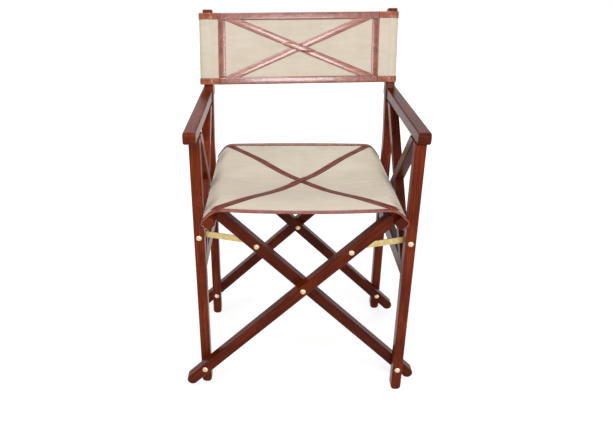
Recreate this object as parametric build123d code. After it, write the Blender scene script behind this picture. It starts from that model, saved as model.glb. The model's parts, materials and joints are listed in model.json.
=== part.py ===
from build123d import *
import os
from math import asin, atan2, cos, degrees, hypot, radians, sin, tan

# Folding armchair of dark hardwood with a canvas seat and back bound in leather.
# Millimetres, +Z up, the front towards -Y, the origin on the floor under the middle of the box.
# While it is built, Y is counted from the front face of the foremost bars.

# Bars
PIVOT_SPAN = 480.0          # left foot pivot to right foot pivot, chair open
FRAME_DEPTH = 387.0         # front face of the front bars to rear face of the rear bars
UPRIGHT_WIDTH = 24.0        # uprights and posts, seen from the front
LEG_WIDTH = 26.0            # crossed legs, across their length
BAR_DEPTH = 26.5            # every bar, front to back
LAYER_GAP = 1.0             # room for a washer between two bars on one pivot
EDGE_ROUND = 2.5            # eased long edges
FOOT_ROUND = 9.5            # rounded corners under the feet

# Pivots and crossed legs
FOOT_PIVOT_Z = 60.0
CENTRE_PIVOT_Z = 290.0
LEG_TAIL = 59.0             # foot pivot to the round lower end of a leg
LEG_LINK_REACH = 150.0      # centre pivot to the link's bolt on a leg
UPRIGHT_LINK_Z = 416.0      # height of the link's bolt on an upright

# Rear posts
POST_PROUD = 11.0           # post's top above the back canvas
BEND_START_Z = 520.0
BEND_RADIUS = 260.0         # on the post's centre line
RECLINE = 13.0              # degrees
POST_TOP_ROUND = 5.0

# Arms, braces and side stretchers
ARM_TOP_Z = 678.0
ARM_HEIGHT = 27.0
ARM_WIDTH = 28.0
ARM_OUTSET = 5.0            # arm's centre line outside the upright's
ARM_NOSE = 6.0              # arm's front end in front of the foremost bars
ARM_TAIL = 51.0             # arm's rear end behind the rear bars' upright faces
ARM_LAP = 10.0              # depth of the notch in the post that the arm lies in
ARM_END_ROUND = 9.0
ARM_EDGE_ROUND = 3.5
STRETCHER_BOTTOM_Z = 318.0
STRETCHER_HEIGHT = 37.0
STRETCHER_THICKNESS = 20.0
BRACE_WIDTH = 25.0
BRACE_THICKNESS = 22.0
BRACE_END_OFFSET = 24.0     # upright's face to the brace's centre line at its end
DOWEL_RADIUS = 4.0
DOWEL_LENGTH = 36.0
BRACE_DOWEL_RADIUS = 3.0
BRACE_DOWEL_LENGTH = 22.0

# Seat rails
RAIL_SIZE = 24.0
RAIL_SIDE_CLEARANCE = 3.0   # rail's outer corner to the upright's inner face
RAIL_ROUND = 7.0
RAIL_END_ROUND = 2.0
RAIL_FRONT_OVERHANG = 18.0
RAIL_REAR_OVERHANG = 33.0
RAIL_SCREW_RADIUS = 2.2
RAIL_SCREW_LENGTH = 25.0
RAIL_SCREW_HEAD_RADIUS = 4.2
RAIL_SCREW_HEAD_HEIGHT = 3.0
RAIL_SCREW_SINK = 1.0       # screw's head below the leg's face

# Brass bolts, nuts, washers and links
BOLT_RADIUS = 3.5
BOLT_HEAD_RADIUS = 7.0
BOLT_HEAD_HEIGHT = 4.2
NUT_DEPTH = 2.6             # bolt's reach into its cap nut
WASHER_RADIUS = 9.0
LINK_WIDTH = 15.0
LINK_THICKNESS = 2.0
RIVET_RADIUS = 2.5
RIVET_HEAD_RADIUS = 5.5
RIVET_HEAD_HEIGHT = 3.0

# Canvas
CANVAS_THICKNESS = 1.6
SEAT_EDGE_INSET = 1.5       # canvas edge behind the rail's end
SEAT_HEM = 19.0             # canvas under the rail, from its outer face
SEAT_SAG = 10.0             # canvas's middle below its line over the leg ends
BACK_ABOVE_ARM = 14.0       # arm's top to the canvas's lower edge
BACK_RISE = 171.0           # lower edge to upper edge, upright
SLEEVE_SEAM = 32.0          # post's centre line to the sleeve's seam
SLEEVE_ROUND = 4.0
TACK_COUNT = 9
TACK_RADIUS = 1.1
TACK_LENGTH = 11.0
TACK_HEAD_RADIUS = 4.0
TACK_HEAD_HEIGHT = 1.6
TACK_END_MARGIN = 22.0

# Leather
LEATHER_THICKNESS = 1.3
SEAT_BINDING_WIDTH = 12.0
BACK_BINDING_WIDTH = 16.0
SIDE_STRIP_WIDTH = 18.0
SEAT_STRAP_WIDTH = 17.0
BACK_STRAP_WIDTH = 19.0
STRAP_RAMP = 5.0            # upper strap's rise beside the lower one

# Clearances
PIN_CLEARANCE = 0.05
FACE_CLEARANCE = 0.1
LINK_CLEARANCE = 0.3
SOFT_CLEARANCE = 0.3
SLEEVE_CLEARANCE = 0.5
CUT_MARGIN = 5.0            # how far a cutting solid passes the face it opens

# Derived places
HALF_SPAN = PIVOT_SPAN / 2
MID_DEPTH = FRAME_DEPTH / 2
LAYER_PITCH = BAR_DEPTH + LAYER_GAP
LEG_RISE = CENTRE_PIVOT_Z - FOOT_PIVOT_Z
LEG_HALF = hypot(HALF_SPAN, LEG_RISE)
LEG_ANGLE = atan2(HALF_SPAN, LEG_RISE)
LEG_ALONG = Vector(sin(LEG_ANGLE), 0, cos(LEG_ANGLE))
LEG_ACROSS = Vector(-cos(LEG_ANGLE), 0, sin(LEG_ANGLE))
RAIL_EDGE_X = HALF_SPAN - UPRIGHT_WIDTH / 2 - RAIL_SIDE_CLEARANCE
RAIL_CORNER_CUT = RAIL_ROUND * (LEG_ALONG.X + LEG_ALONG.Z - 1)
LEG_REACH = (RAIL_EDGE_X + RAIL_CORNER_CUT - RAIL_SIZE * LEG_ALONG.Z) / LEG_ALONG.X
BOLT_HOLE_RADIUS = BOLT_RADIUS + PIN_CLEARANCE
ARM_UNDER_Z = ARM_TOP_Z - ARM_HEIGHT
ARM_X = HALF_SPAN + ARM_OUTSET
ARM_LAP_X = HALF_SPAN + UPRIGHT_WIDTH / 2 - ARM_LAP
STRETCHER_TOP_Z = STRETCHER_BOTTOM_Z + STRETCHER_HEIGHT
RAIL_FRONT_Y = -RAIL_FRONT_OVERHANG
RAIL_REAR_Y = FRAME_DEPTH + RAIL_REAR_OVERHANG
RAIL_ALONG = LEG_REACH - RAIL_SIZE / 2
RECLINE_RAD = radians(RECLINE)
POST_AXIS = Vector(0, sin(RECLINE_RAD), cos(RECLINE_RAD))
BEND_END_Z = BEND_START_Z + BEND_RADIUS * sin(RECLINE_RAD)
BEND_END_SETBACK = BEND_RADIUS * (1 - cos(RECLINE_RAD))
BACK_BOTTOM_Z = ARM_TOP_Z + BACK_ABOVE_ARM
BACK_TOP_Z = BACK_BOTTOM_Z + BACK_RISE
POST_TOP_Z = BACK_TOP_Z + POST_PROUD
BACK_HEIGHT = BACK_RISE / cos(RECLINE_RAD)
SHEET_FRONT = BAR_DEPTH / 2 + SLEEVE_CLEARANCE
BINDING_CLEARANCE = FACE_CLEARANCE * 2
BINDING_PROUD = BINDING_CLEARANCE + LEATHER_THICKNESS
PANEL_HALF = HALF_SPAN - SLEEVE_SEAM - CANVAS_THICKNESS - BINDING_PROUD - SOFT_CLEARANCE
BACKWARD = (0, 1, 0)
MIRROR_X = Plane.YZ
MIRROR_DEPTH = Plane.XZ.offset(-MID_DEPTH)

nodes = {}


def to_left(shape):
    return mirror(shape, about=MIRROR_X)


def to_rear(shape):
    return mirror(shape, about=MIRROR_DEPTH)


def depth_prism(sketch, y_start, y_end):
    """A flat shape drawn in X and Z, carried from one depth to another."""
    face = Plane.XZ.offset(-y_start) * sketch
    return extrude(face, amount=y_end - y_start, dir=BACKWARD)


def width_prism(sketch, x_middle, thickness):
    """A flat shape drawn in Y and Z, carried the same way to both sides of x_middle."""
    face = Plane.YZ.offset(x_middle - thickness / 2) * sketch
    return extrude(face, amount=thickness, dir=(1, 0, 0))


def round_bar(start, direction, length, radius):
    return Solid.make_cylinder(radius, length, Plane(origin=start, z_dir=direction))


def dome(centre, direction, radius, height):
    """A round head: the cap of a ball, flat side on centre, swelling along direction."""
    ball_radius = (radius**2 + height**2) / (2 * height)
    half_turn = asin(radius / ball_radius) / 2
    shoulder = (ball_radius * sin(half_turn), height - ball_radius + ball_radius * cos(half_turn))
    rim = ThreePointArc((radius, 0), shoulder, (0, height))
    half_section = make_face(Curve() + [Line((0, 0), (radius, 0)), rim, Line((0, height), (0, 0))])
    cap = revolve(Plane.XZ * half_section, axis=Axis.Z)
    return Plane(origin=centre, z_dir=direction) * cap


def outline_edges(solid, axis):
    """The edges round the two end faces of a bar that was carried along axis."""
    ends = solid.faces().filter_by(axis)
    return ends.sort_by(axis)[0].edges() + ends.sort_by(axis)[-1].edges()


# Crossed legs

def leg_plane(depth):
    """Along the leg that rises to the right, with the centre pivot as its origin."""
    return Plane(origin=(0, depth, CENTRE_PIVOT_Z), x_dir=LEG_ALONG, z_dir=(0, -1, 0))


def leg_point(along, across, depth):
    return Vector(0, depth, CENTRE_PIVOT_Z) + LEG_ALONG * along + LEG_ACROSS * across


def leg_bar(depth):
    """One leg: a square upper end and a lower end that is a half round."""
    tail_centre = -(LEG_HALF + LEG_TAIL - LEG_WIDTH / 2)
    bar_length = LEG_REACH - tail_centre
    bar = Pos(tail_centre + bar_length / 2, 0) * Rectangle(bar_length, LEG_WIDTH)
    shape = bar + Pos(tail_centre, 0) * Circle(LEG_WIDTH / 2)
    leg = extrude(leg_plane(depth) * shape, amount=BAR_DEPTH, dir=BACKWARD)
    return fillet(outline_edges(leg, Axis.Y), EDGE_ROUND)


def rail_bar():
    """A seat rail: a round-edged square bar let half way into the ends of two legs."""
    section = Pos(RAIL_ALONG, -RAIL_SIZE / 2) * RectangleRounded(RAIL_SIZE, RAIL_SIZE, RAIL_ROUND)
    rail = extrude(leg_plane(RAIL_FRONT_Y) * section, amount=RAIL_REAR_Y - RAIL_FRONT_Y, dir=BACKWARD)
    return fillet(outline_edges(rail, Axis.Y), RAIL_END_ROUND)


def rail_screw(depth, clearance=0.0):
    """A countersunk screw through a leg's end into the rail."""
    head_start = leg_point(RAIL_ALONG, LEG_WIDTH / 2 - RAIL_SCREW_SINK, depth)
    head = round_bar(head_start, -LEG_ACROSS, RAIL_SCREW_HEAD_HEIGHT, RAIL_SCREW_HEAD_RADIUS + clearance)
    shank = round_bar(head_start, -LEG_ACROSS, RAIL_SCREW_LENGTH, RAIL_SCREW_RADIUS + clearance)
    return head + shank


def rail_screw_hole(depth):
    opening = leg_point(RAIL_ALONG, LEG_WIDTH / 2 + CUT_MARGIN, depth)
    well = round_bar(opening, -LEG_ACROSS, CUT_MARGIN + RAIL_SCREW_SINK, RAIL_SCREW_HEAD_RADIUS)
    return rail_screw(depth, PIN_CLEARANCE) + well


def pivot_hole(x, z):
    start = Vector(x, -CUT_MARGIN, z)
    return round_bar(start, BACKWARD, FRAME_DEPTH + 2 * CUT_MARGIN, BOLT_HOLE_RADIUS)


leg_link = leg_point(LEG_LINK_REACH, 0, 0)
seat_rail = rail_bar()


def drilled_leg(depth):
    leg = leg_bar(depth) - seat_rail - rail_screw_hole(depth + BAR_DEPTH / 2)
    for x, z in ((-HALF_SPAN, FOOT_PIVOT_Z), (0, CENTRE_PIVOT_Z), (leg_link.X, leg_link.Z)):
        leg = leg - pivot_hole(x, z)
    return leg


def leg_frame(depth):
    """Front leg, rear leg, rail and rail screws of one pair, its front leg at the given depth."""
    front = drilled_leg(depth)
    screw_depth = depth + BAR_DEPTH / 2
    hole = rail_screw_hole(screw_depth)
    rail = seat_rail - hole - to_rear(hole)
    screw = rail_screw(screw_depth)
    return front, to_rear(front), rail, [screw, to_rear(screw)]


outer_front, outer_rear, right_rail, right_screws = leg_frame(0)
inner_front, inner_rear, left_rail, left_screws = (
    to_left(piece) if not isinstance(piece, list) else [to_left(screw) for screw in piece]
    for piece in leg_frame(LAYER_PITCH)
)


# Tacks that hold the canvas under the rails

tack_first_y = RAIL_FRONT_Y + TACK_END_MARGIN
tack_step = (RAIL_REAR_Y - RAIL_FRONT_Y - 2 * TACK_END_MARGIN) / (TACK_COUNT - 1)
tack_depths = [tack_first_y + step * tack_step for step in range(TACK_COUNT)]
tack_seat = SOFT_CLEARANCE + CANVAS_THICKNESS + FACE_CLEARANCE


def tack(depth, clearance=0.0):
    """A round-headed tack driven up through the hem into the rail."""
    head_seat = leg_point(RAIL_ALONG, -RAIL_SIZE - tack_seat, depth)
    head = dome(head_seat, -LEG_ACROSS, TACK_HEAD_RADIUS, TACK_HEAD_HEIGHT)
    shank = round_bar(head_seat, LEG_ACROSS, TACK_LENGTH, TACK_RADIUS + clearance)
    return head + shank


right_tacks = [tack(depth) for depth in tack_depths]
tack_holes = [tack(depth, PIN_CLEARANCE) for depth in tack_depths]
for hole in tack_holes:
    right_rail = right_rail - hole
    left_rail = left_rail - to_left(hole)

nodes["outer_front_leg"] = outer_front
nodes["outer_rear_leg"] = outer_rear
nodes["right_seat_rail"] = right_rail
nodes["right_rail_screws"] = right_screws
nodes["right_seat_tacks"] = right_tacks
nodes["inner_front_leg"] = inner_front
nodes["inner_rear_leg"] = inner_rear
nodes["left_seat_rail"] = left_rail
nodes["left_rail_screws"] = left_screws
nodes["left_seat_tacks"] = [to_left(piece) for piece in right_tacks]


# Bolts, cap nuts and washers, each pivot's front set; the rear set is its mirror image

def bolt(x, z, head_y, nut_y):
    """A round-headed bolt from head_y back into the cap nut that sits at nut_y."""
    head = dome((x, head_y, z), (0, -1, 0), BOLT_HEAD_RADIUS, BOLT_HEAD_HEIGHT)
    return head + round_bar((x, head_y, z), BACKWARD, nut_y + NUT_DEPTH - head_y, BOLT_RADIUS)


def cap_nut(x, z, nut_y):
    cap = dome((x, nut_y, z), BACKWARD, BOLT_HEAD_RADIUS, BOLT_HEAD_HEIGHT)
    return cap - round_bar((x, nut_y, z), BACKWARD, NUT_DEPTH + FACE_CLEARANCE, BOLT_HOLE_RADIUS)


def washer(x, z):
    start = Vector(x, BAR_DEPTH + FACE_CLEARANCE, z)
    thickness = LAYER_GAP - 2 * FACE_CLEARANCE
    disc = round_bar(start, BACKWARD, thickness, WASHER_RADIUS)
    return disc - round_bar(start, BACKWARD, thickness, BOLT_HOLE_RADIUS)


def front_and_rear(pieces):
    return pieces + [to_rear(piece) for piece in pieces]


inner_back_y = LAYER_PITCH + BAR_DEPTH
link_stack = LINK_CLEARANCE + LINK_THICKNESS + FACE_CLEARANCE

nodes["centre_bolts"] = front_and_rear([bolt(0, CENTRE_PIVOT_Z, -FACE_CLEARANCE, inner_back_y)])
nodes["centre_cap_nuts"] = front_and_rear([cap_nut(0, CENTRE_PIVOT_Z, inner_back_y)])
nodes["centre_washers"] = front_and_rear([washer(0, CENTRE_PIVOT_Z)])

right_foot_nut_y = inner_back_y + FACE_CLEARANCE
right_link_nut_y = BAR_DEPTH + link_stack
nodes["right_side_bolts"] = front_and_rear([
    bolt(HALF_SPAN, FOOT_PIVOT_Z, 0, right_foot_nut_y),
    bolt(HALF_SPAN, UPRIGHT_LINK_Z, 0, right_link_nut_y),
])
nodes["right_side_cap_nuts"] = front_and_rear([
    cap_nut(HALF_SPAN, FOOT_PIVOT_Z, right_foot_nut_y),
    cap_nut(HALF_SPAN, UPRIGHT_LINK_Z, right_link_nut_y),
])
nodes["right_foot_washers"] = front_and_rear([washer(HALF_SPAN, FOOT_PIVOT_Z)])

left_link_nut_y = inner_back_y + link_stack
nodes["left_side_bolts"] = front_and_rear([
    bolt(-HALF_SPAN, FOOT_PIVOT_Z, -FACE_CLEARANCE, inner_back_y),
    bolt(-HALF_SPAN, UPRIGHT_LINK_Z, LAYER_PITCH, left_link_nut_y),
])
nodes["left_side_cap_nuts"] = front_and_rear([
    cap_nut(-HALF_SPAN, FOOT_PIVOT_Z, inner_back_y),
    cap_nut(-HALF_SPAN, UPRIGHT_LINK_Z, left_link_nut_y),
])
nodes["left_foot_washers"] = front_and_rear([washer(-HALF_SPAN, FOOT_PIVOT_Z)])


def leg_stud(x, head_y):
    """The link's bolt on a leg, flush with the face that the link lies on."""
    head = dome((x, head_y, leg_link.Z), (0, -1, 0), BOLT_HEAD_RADIUS, BOLT_HEAD_HEIGHT)
    return head + round_bar((x, head_y, leg_link.Z), BACKWARD, BAR_DEPTH, BOLT_RADIUS)


nodes["right_leg_studs"] = front_and_rear([leg_stud(leg_link.X, 0)])
nodes["left_leg_studs"] = front_and_rear([leg_stud(-leg_link.X, LAYER_PITCH)])


# Flat brass links between the legs and the uprights

def link_bar(face_y):
    """The right front link, lying just behind the wood face at face_y."""
    run = HALF_SPAN - leg_link.X
    rise = UPRIGHT_LINK_Z - leg_link.Z
    middle = Pos((HALF_SPAN + leg_link.X) / 2, (UPRIGHT_LINK_Z + leg_link.Z) / 2)
    slot = middle * Rot(0, 0, degrees(atan2(rise, run))) * SlotCenterToCenter(hypot(run, rise), LINK_WIDTH)
    slot = slot - Pos(HALF_SPAN, UPRIGHT_LINK_Z) * Circle(BOLT_HOLE_RADIUS)
    slot = slot - Pos(leg_link.X, leg_link.Z) * Circle(RIVET_RADIUS + PIN_CLEARANCE)
    near_y = face_y + LINK_CLEARANCE
    return depth_prism(slot, near_y, near_y + LINK_THICKNESS)


def link_rivet(face_y):
    """The link's own end of the leg pivot: a flush rivet with its round head on the inside."""
    near = Vector(leg_link.X, face_y + LINK_CLEARANCE, leg_link.Z)
    far = near + Vector(0, LINK_THICKNESS, 0)
    head = dome(far, BACKWARD, RIVET_HEAD_RADIUS, RIVET_HEAD_HEIGHT)
    return head + round_bar(near, BACKWARD, LINK_THICKNESS, RIVET_RADIUS)


right_link = link_bar(BAR_DEPTH)
left_link = to_left(link_bar(inner_back_y))
nodes["right_front_link"] = right_link
nodes["right_rear_link"] = to_rear(right_link)
nodes["right_link_rivets"] = front_and_rear([link_rivet(BAR_DEPTH)])
nodes["left_front_link"] = left_link
nodes["left_rear_link"] = to_rear(left_link)
nodes["left_link_rivets"] = front_and_rear([to_left(link_rivet(inner_back_y))])


# Side frames: drawn on the right, with the front upright's face at front_y

def post_centre_y(front_y):
    return FRAME_DEPTH - front_y - BAR_DEPTH / 2


def post_face_point(front_y, z, offset):
    """Y on the reclined part of a post, offset from its centre line to the back."""
    start_y = post_centre_y(front_y) + BEND_END_SETBACK + offset * cos(RECLINE_RAD)
    start_z = BEND_END_Z - offset * sin(RECLINE_RAD)
    return start_y + (z - start_z) * tan(RECLINE_RAD)


def front_upright(front_y):
    shape = Pos(HALF_SPAN, ARM_UNDER_Z / 2) * Rectangle(UPRIGHT_WIDTH, ARM_UNDER_Z)
    shape = fillet(shape.vertices().group_by(Axis.Y)[0], FOOT_ROUND)
    bar = depth_prism(shape, front_y, front_y + BAR_DEPTH)
    rim = [edge for edge in outline_edges(bar, Axis.Y) if edge.center().Z < ARM_UNDER_Z - EDGE_ROUND]
    bar = fillet(rim, EDGE_ROUND)
    for z in (FOOT_PIVOT_Z, UPRIGHT_LINK_Z):
        bar = bar - pivot_hole(HALF_SPAN, z)
    return bar


def post_outline(front_y):
    """A post from the side: upright to the bend and leaning back above it."""
    centre = post_centre_y(front_y)
    half = BAR_DEPTH / 2
    pivot = Vector(centre + BEND_RADIUS, BEND_START_Z)
    lean = Vector(sin(RECLINE_RAD), cos(RECLINE_RAD))
    top_run = (POST_TOP_Z - BEND_END_Z) / cos(RECLINE_RAD)

    def edge(radius, y_low):
        def on_arc(share):
            turn = RECLINE_RAD * share
            return pivot + Vector(-radius * cos(turn), radius * sin(turn))

        upright = Line((y_low, 0), on_arc(0))
        bend = ThreePointArc(on_arc(0), on_arc(0.5), on_arc(1))
        lean_line = Line(on_arc(1), on_arc(1) + lean * top_run)
        return upright, bend, lean_line

    front = edge(BEND_RADIUS + half, centre - half)
    rear = edge(BEND_RADIUS - half, centre + half)
    foot = Line(front[0] @ 0, rear[0] @ 0)
    top = Line(front[2] @ 1, rear[2] @ 1)
    shape = make_face(Curve() + [*front, *rear, foot, top])
    return fillet(shape.vertices().sort_by(Axis.Y)[-2:], POST_TOP_ROUND)


def arm_outline():
    """An arm from the side, before its ends are rounded."""
    length = ARM_NOSE + FRAME_DEPTH + ARM_TAIL
    return Pos(length / 2 - ARM_NOSE, ARM_UNDER_Z + ARM_HEIGHT / 2) * Rectangle(length, ARM_HEIGHT)


def rear_post(front_y):
    """A post with a round foot and a notch in its outer side, where the arm passes."""
    bar = width_prism(post_outline(front_y), HALF_SPAN, UPRIGHT_WIDTH)
    bar = fillet(bar.edges().filter_by(Axis.Y).group_by(Axis.Z)[0], FOOT_ROUND)
    foot = [edge for edge in bar.edges() if edge.center().Z < FOOT_ROUND]
    rim = ShapeList(outline_edges(bar, Axis.X) + foot)
    bar = fillet(rim.filter_by(Axis.Y, reverse=True), EDGE_ROUND)
    for z in (FOOT_PIVOT_Z, UPRIGHT_LINK_Z):
        bar = bar - pivot_hole(HALF_SPAN, z)
    return bar - width_prism(arm_outline(), ARM_LAP_X + ARM_WIDTH / 2, ARM_WIDTH)


def arm(front_y):
    """An arm on top of the upright, halved over the leaning post, its tail behind the post."""
    shape = arm_outline()
    bar = width_prism(fillet(shape.vertices(), ARM_END_ROUND), ARM_X, ARM_WIDTH)
    bar = fillet(outline_edges(bar, Axis.X), ARM_EDGE_ROUND)
    return bar - width_prism(post_outline(front_y), ARM_LAP_X - UPRIGHT_WIDTH / 2, UPRIGHT_WIDTH)


def side_stretcher(front_y):
    start = front_y + BAR_DEPTH
    end = FRAME_DEPTH - front_y - BAR_DEPTH
    shape = Pos((start + end) / 2, STRETCHER_BOTTOM_Z + STRETCHER_HEIGHT / 2)
    bar = width_prism(shape * Rectangle(end - start, STRETCHER_HEIGHT), HALF_SPAN, STRETCHER_THICKNESS)
    return fillet(bar.edges().filter_by(Axis.Y), EDGE_ROUND)


def brace_bar(low_y, high_y):
    """A slanting bar cut level at both ends, between the stretcher and the arm."""
    rise = ARM_UNDER_Z - STRETCHER_TOP_Z
    half_cut = BRACE_WIDTH / 2 * hypot(rise, high_y - low_y) / rise
    corners = [
        (low_y - half_cut, STRETCHER_TOP_Z),
        (low_y + half_cut, STRETCHER_TOP_Z),
        (high_y + half_cut, ARM_UNDER_Z),
        (high_y - half_cut, ARM_UNDER_Z),
    ]
    bar = width_prism(Polygon(*corners, align=None), HALF_SPAN, BRACE_THICKNESS)
    long_edges = bar.edges().sort_by(SortBy.LENGTH)[-4:]
    return fillet(long_edges, EDGE_ROUND)


def lapped_braces(front_y):
    """Two braces that cross in a half lap, so that both faces lie flush."""
    near_y = front_y + BAR_DEPTH + BRACE_END_OFFSET
    far_y = FRAME_DEPTH - near_y
    rising = brace_bar(near_y, far_y)
    falling = brace_bar(far_y, near_y)
    lap = rising & falling
    outer_half = Pos(HALF_SPAN + BRACE_THICKNESS / 2, MID_DEPTH, ARM_UNDER_Z / 2)
    outer_half = outer_half * Box(BRACE_THICKNESS, FRAME_DEPTH, ARM_UNDER_Z)
    return rising - (lap - outer_half), falling - (lap & outer_half)


def dowel_set(front_y):
    """Each dowel's start and direction, the two pieces that it joins, its radius and its length."""
    middle_x = HALF_SPAN
    near_y = front_y + BAR_DEPTH + BRACE_END_OFFSET
    far_y = FRAME_DEPTH - near_y
    stretcher_z = STRETCHER_BOTTOM_Z + STRETCHER_HEIGHT / 2
    arm_z = ARM_UNDER_Z + ARM_HEIGHT / 2
    lap_y = post_face_point(front_y, arm_z, 0)
    half = DOWEL_LENGTH / 2
    front_face = front_y + BAR_DEPTH
    rear_face = FRAME_DEPTH - front_y - BAR_DEPTH
    upright_mid = front_y + BAR_DEPTH / 2
    in_arm_z = ARM_TOP_Z - DOWEL_RADIUS - DOWEL_LENGTH
    low = BRACE_DOWEL_LENGTH / 2
    up = Vector(0, 0, 1)
    back = Vector(BACKWARD)
    outward = Vector(1, 0, 0)
    thick = [
        ((ARM_X, upright_mid, in_arm_z), up, "front_upright", "arm"),
        ((middle_x, front_face - half, stretcher_z), back, "front_upright", "side_stretcher"),
        ((middle_x, rear_face - half, stretcher_z), back, "side_stretcher", "rear_post"),
    ]
    thin = [
        ((ARM_LAP_X - low, lap_y, arm_z), outward, "rear_post", "arm"),
        ((middle_x, near_y, STRETCHER_TOP_Z - low), up, "side_stretcher", "rising_brace"),
        ((middle_x, far_y, ARM_UNDER_Z - low), up, "rising_brace", "arm"),
        ((middle_x, far_y, STRETCHER_TOP_Z - low), up, "side_stretcher", "falling_brace"),
        ((middle_x, near_y, ARM_UNDER_Z - low), up, "falling_brace", "arm"),
    ]
    thick = [(*joint, DOWEL_RADIUS, DOWEL_LENGTH) for joint in thick]
    return thick + [(*joint, BRACE_DOWEL_RADIUS, BRACE_DOWEL_LENGTH) for joint in thin]


def side_frame(front_y):
    pieces = {
        "front_upright": front_upright(front_y),
        "rear_post": rear_post(front_y),
        "arm": arm(front_y),
        "side_stretcher": side_stretcher(front_y),
    }
    pieces["rising_brace"], pieces["falling_brace"] = lapped_braces(front_y)
    dowels = []
    for start, direction, first, second, radius, length in dowel_set(front_y):
        hole_start = Vector(start) - direction * FACE_CLEARANCE
        hole = round_bar(hole_start, direction, length + 2 * FACE_CLEARANCE, radius + PIN_CLEARANCE)
        pieces[first] = pieces[first] - hole
        pieces[second] = pieces[second] - hole
        dowels.append(round_bar(start, direction, length, radius))
    pieces["dowels"] = dowels
    return pieces


# Sleeves of the back: drawn on the right, round the leaning part of a post

def sleeve_plane(front_y, z):
    """Square to the leaning post, with its origin on the post's centre line at height z."""
    origin = Vector(HALF_SPAN, post_face_point(front_y, z, 0), z)
    return Plane(origin=origin, x_dir=(1, 0, 0), z_dir=POST_AXIS)


def sleeve_loop(outset):
    """The sleeve's section: round the post, then closing on the seam at the front."""
    side = UPRIGHT_WIDTH / 2 + SLEEVE_CLEARANCE
    corners = [(side, -SHEET_FRONT), (side, SHEET_FRONT), (-side, SHEET_FRONT), (-SLEEVE_SEAM, -SHEET_FRONT)]
    loop = Polygon(*corners, align=None)
    loop = fillet(loop.vertices().sort_by(Axis.X)[1:], SLEEVE_ROUND)
    return offset(loop, amount=outset) if outset else loop


def sleeve_ring(front_y, z, height, inset, thickness):
    ring = sleeve_loop(inset + thickness) - sleeve_loop(inset)
    return extrude(sleeve_plane(front_y, z) * ring, amount=height, dir=POST_AXIS)


def back_sleeve(front_y):
    return sleeve_ring(front_y, BACK_BOTTOM_Z, BACK_HEIGHT, 0, CANVAS_THICKNESS)


def sleeve_bands(front_y):
    """A leather band round each end of the sleeve."""
    upper_z = BACK_TOP_Z - BACK_BINDING_WIDTH * cos(RECLINE_RAD)
    inset = CANVAS_THICKNESS + BINDING_CLEARANCE
    return [
        sleeve_ring(front_y, z, BACK_BINDING_WIDTH, inset, LEATHER_THICKNESS)
        for z in (BACK_BOTTOM_Z, upper_z)
    ]


def side_nodes(front_y):
    pieces = side_frame(front_y)
    pieces["back_sleeve"] = back_sleeve(front_y)
    pieces["sleeve_bands"] = sleeve_bands(front_y)
    return pieces


for name, piece in side_nodes(0).items():
    nodes["right_" + name] = piece
for name, piece in side_nodes(LAYER_PITCH).items():
    nodes["left_" + name] = [to_left(solid) for solid in piece] if isinstance(piece, list) else to_left(piece)


# Back panel, stretched between the two sleeves, which stand one layer apart in depth

def seam_point(front_y, x):
    sheet = sleeve_plane(front_y, BACK_BOTTOM_Z)
    depth = sheet.y_dir * -SHEET_FRONT
    return Vector(x, sheet.origin.Y + depth.Y, sheet.origin.Z + depth.Z)


left_seam = seam_point(LAYER_PITCH, -PANEL_HALF)
right_seam = seam_point(0, PANEL_HALF)
panel_across = (right_seam - left_seam).normalized()
panel_middle = (left_seam + right_seam) / 2
back_plane = Plane(origin=panel_middle, x_dir=panel_across, z_dir=panel_across.cross(POST_AXIS))
PANEL_SKEW = asin(panel_across.dot(POST_AXIS))
PANEL_REACH = (right_seam - left_seam).length / 2


def back_patch(corners, low, high):
    """A flat piece on the panel from corners (across, up), between two heights above its rear face."""
    points = [(across + up * sin(PANEL_SKEW), up * cos(PANEL_SKEW)) for across, up in corners]
    face = back_plane.offset(low) * Polygon(*points, align=None)
    return extrude(face, amount=high - low, dir=back_plane.z_dir)


def box_corners(half_width, low, high):
    return [(-half_width, low), (half_width, low), (half_width, high), (-half_width, high)]


def back_binding(low, high, slot_low, slot_high):
    """A strip of leather folded over an edge of the panel."""
    whole = back_patch(box_corners(PANEL_REACH, low, high), -BINDING_PROUD, CANVAS_THICKNESS + BINDING_PROUD)
    slot = box_corners(PANEL_REACH + CUT_MARGIN, slot_low, slot_high)
    return whole - back_patch(slot, -BINDING_CLEARANCE, CANVAS_THICKNESS + BINDING_CLEARANCE)


def diagonal(half_width, low, high, strap_width, rising):
    """Corners of a strap that runs from corner to corner of a field."""
    run = 2 * half_width
    rise = high - low
    stretch = hypot(run, rise)
    side = Vector(-rise, run) * (strap_width / 2 / stretch)
    past = Vector(run, rise) * (strap_width / stretch)
    start = Vector(-half_width, low) - past
    end = Vector(half_width, high) + past
    corners = [start - side, end - side, end + side, start + side]
    turn = 1 if rising else -1
    return [(turn * corner.X, corner.Y) for corner in corners]


def crossed_straps(patch, half_width, low, high, strap_width, seat):
    """Two straps on a sheet, the upper one stepping over the lower where they cross."""
    top = seat + LEATHER_THICKNESS
    bridge_under = top + FACE_CLEARANCE
    bridge_top = bridge_under + LEATHER_THICKNESS
    field = patch(box_corners(half_width, low, high), seat, bridge_top)
    lower_corners = diagonal(half_width, low, high, strap_width, True)
    upper_corners = diagonal(half_width, low, high, strap_width, False)
    slot_corners = diagonal(half_width, low, high, strap_width + 2 * FACE_CLEARANCE, True)
    ramp_corners = diagonal(half_width, low, high, strap_width + 2 * STRAP_RAMP, True)
    lower = patch(lower_corners, seat, top) & field
    flat = patch(upper_corners, seat, top)
    bridge = patch(upper_corners, seat, bridge_top) & patch(ramp_corners, seat, bridge_top)
    upper = (flat + bridge - patch(slot_corners, seat, bridge_under)) & field
    return lower, upper


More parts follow.
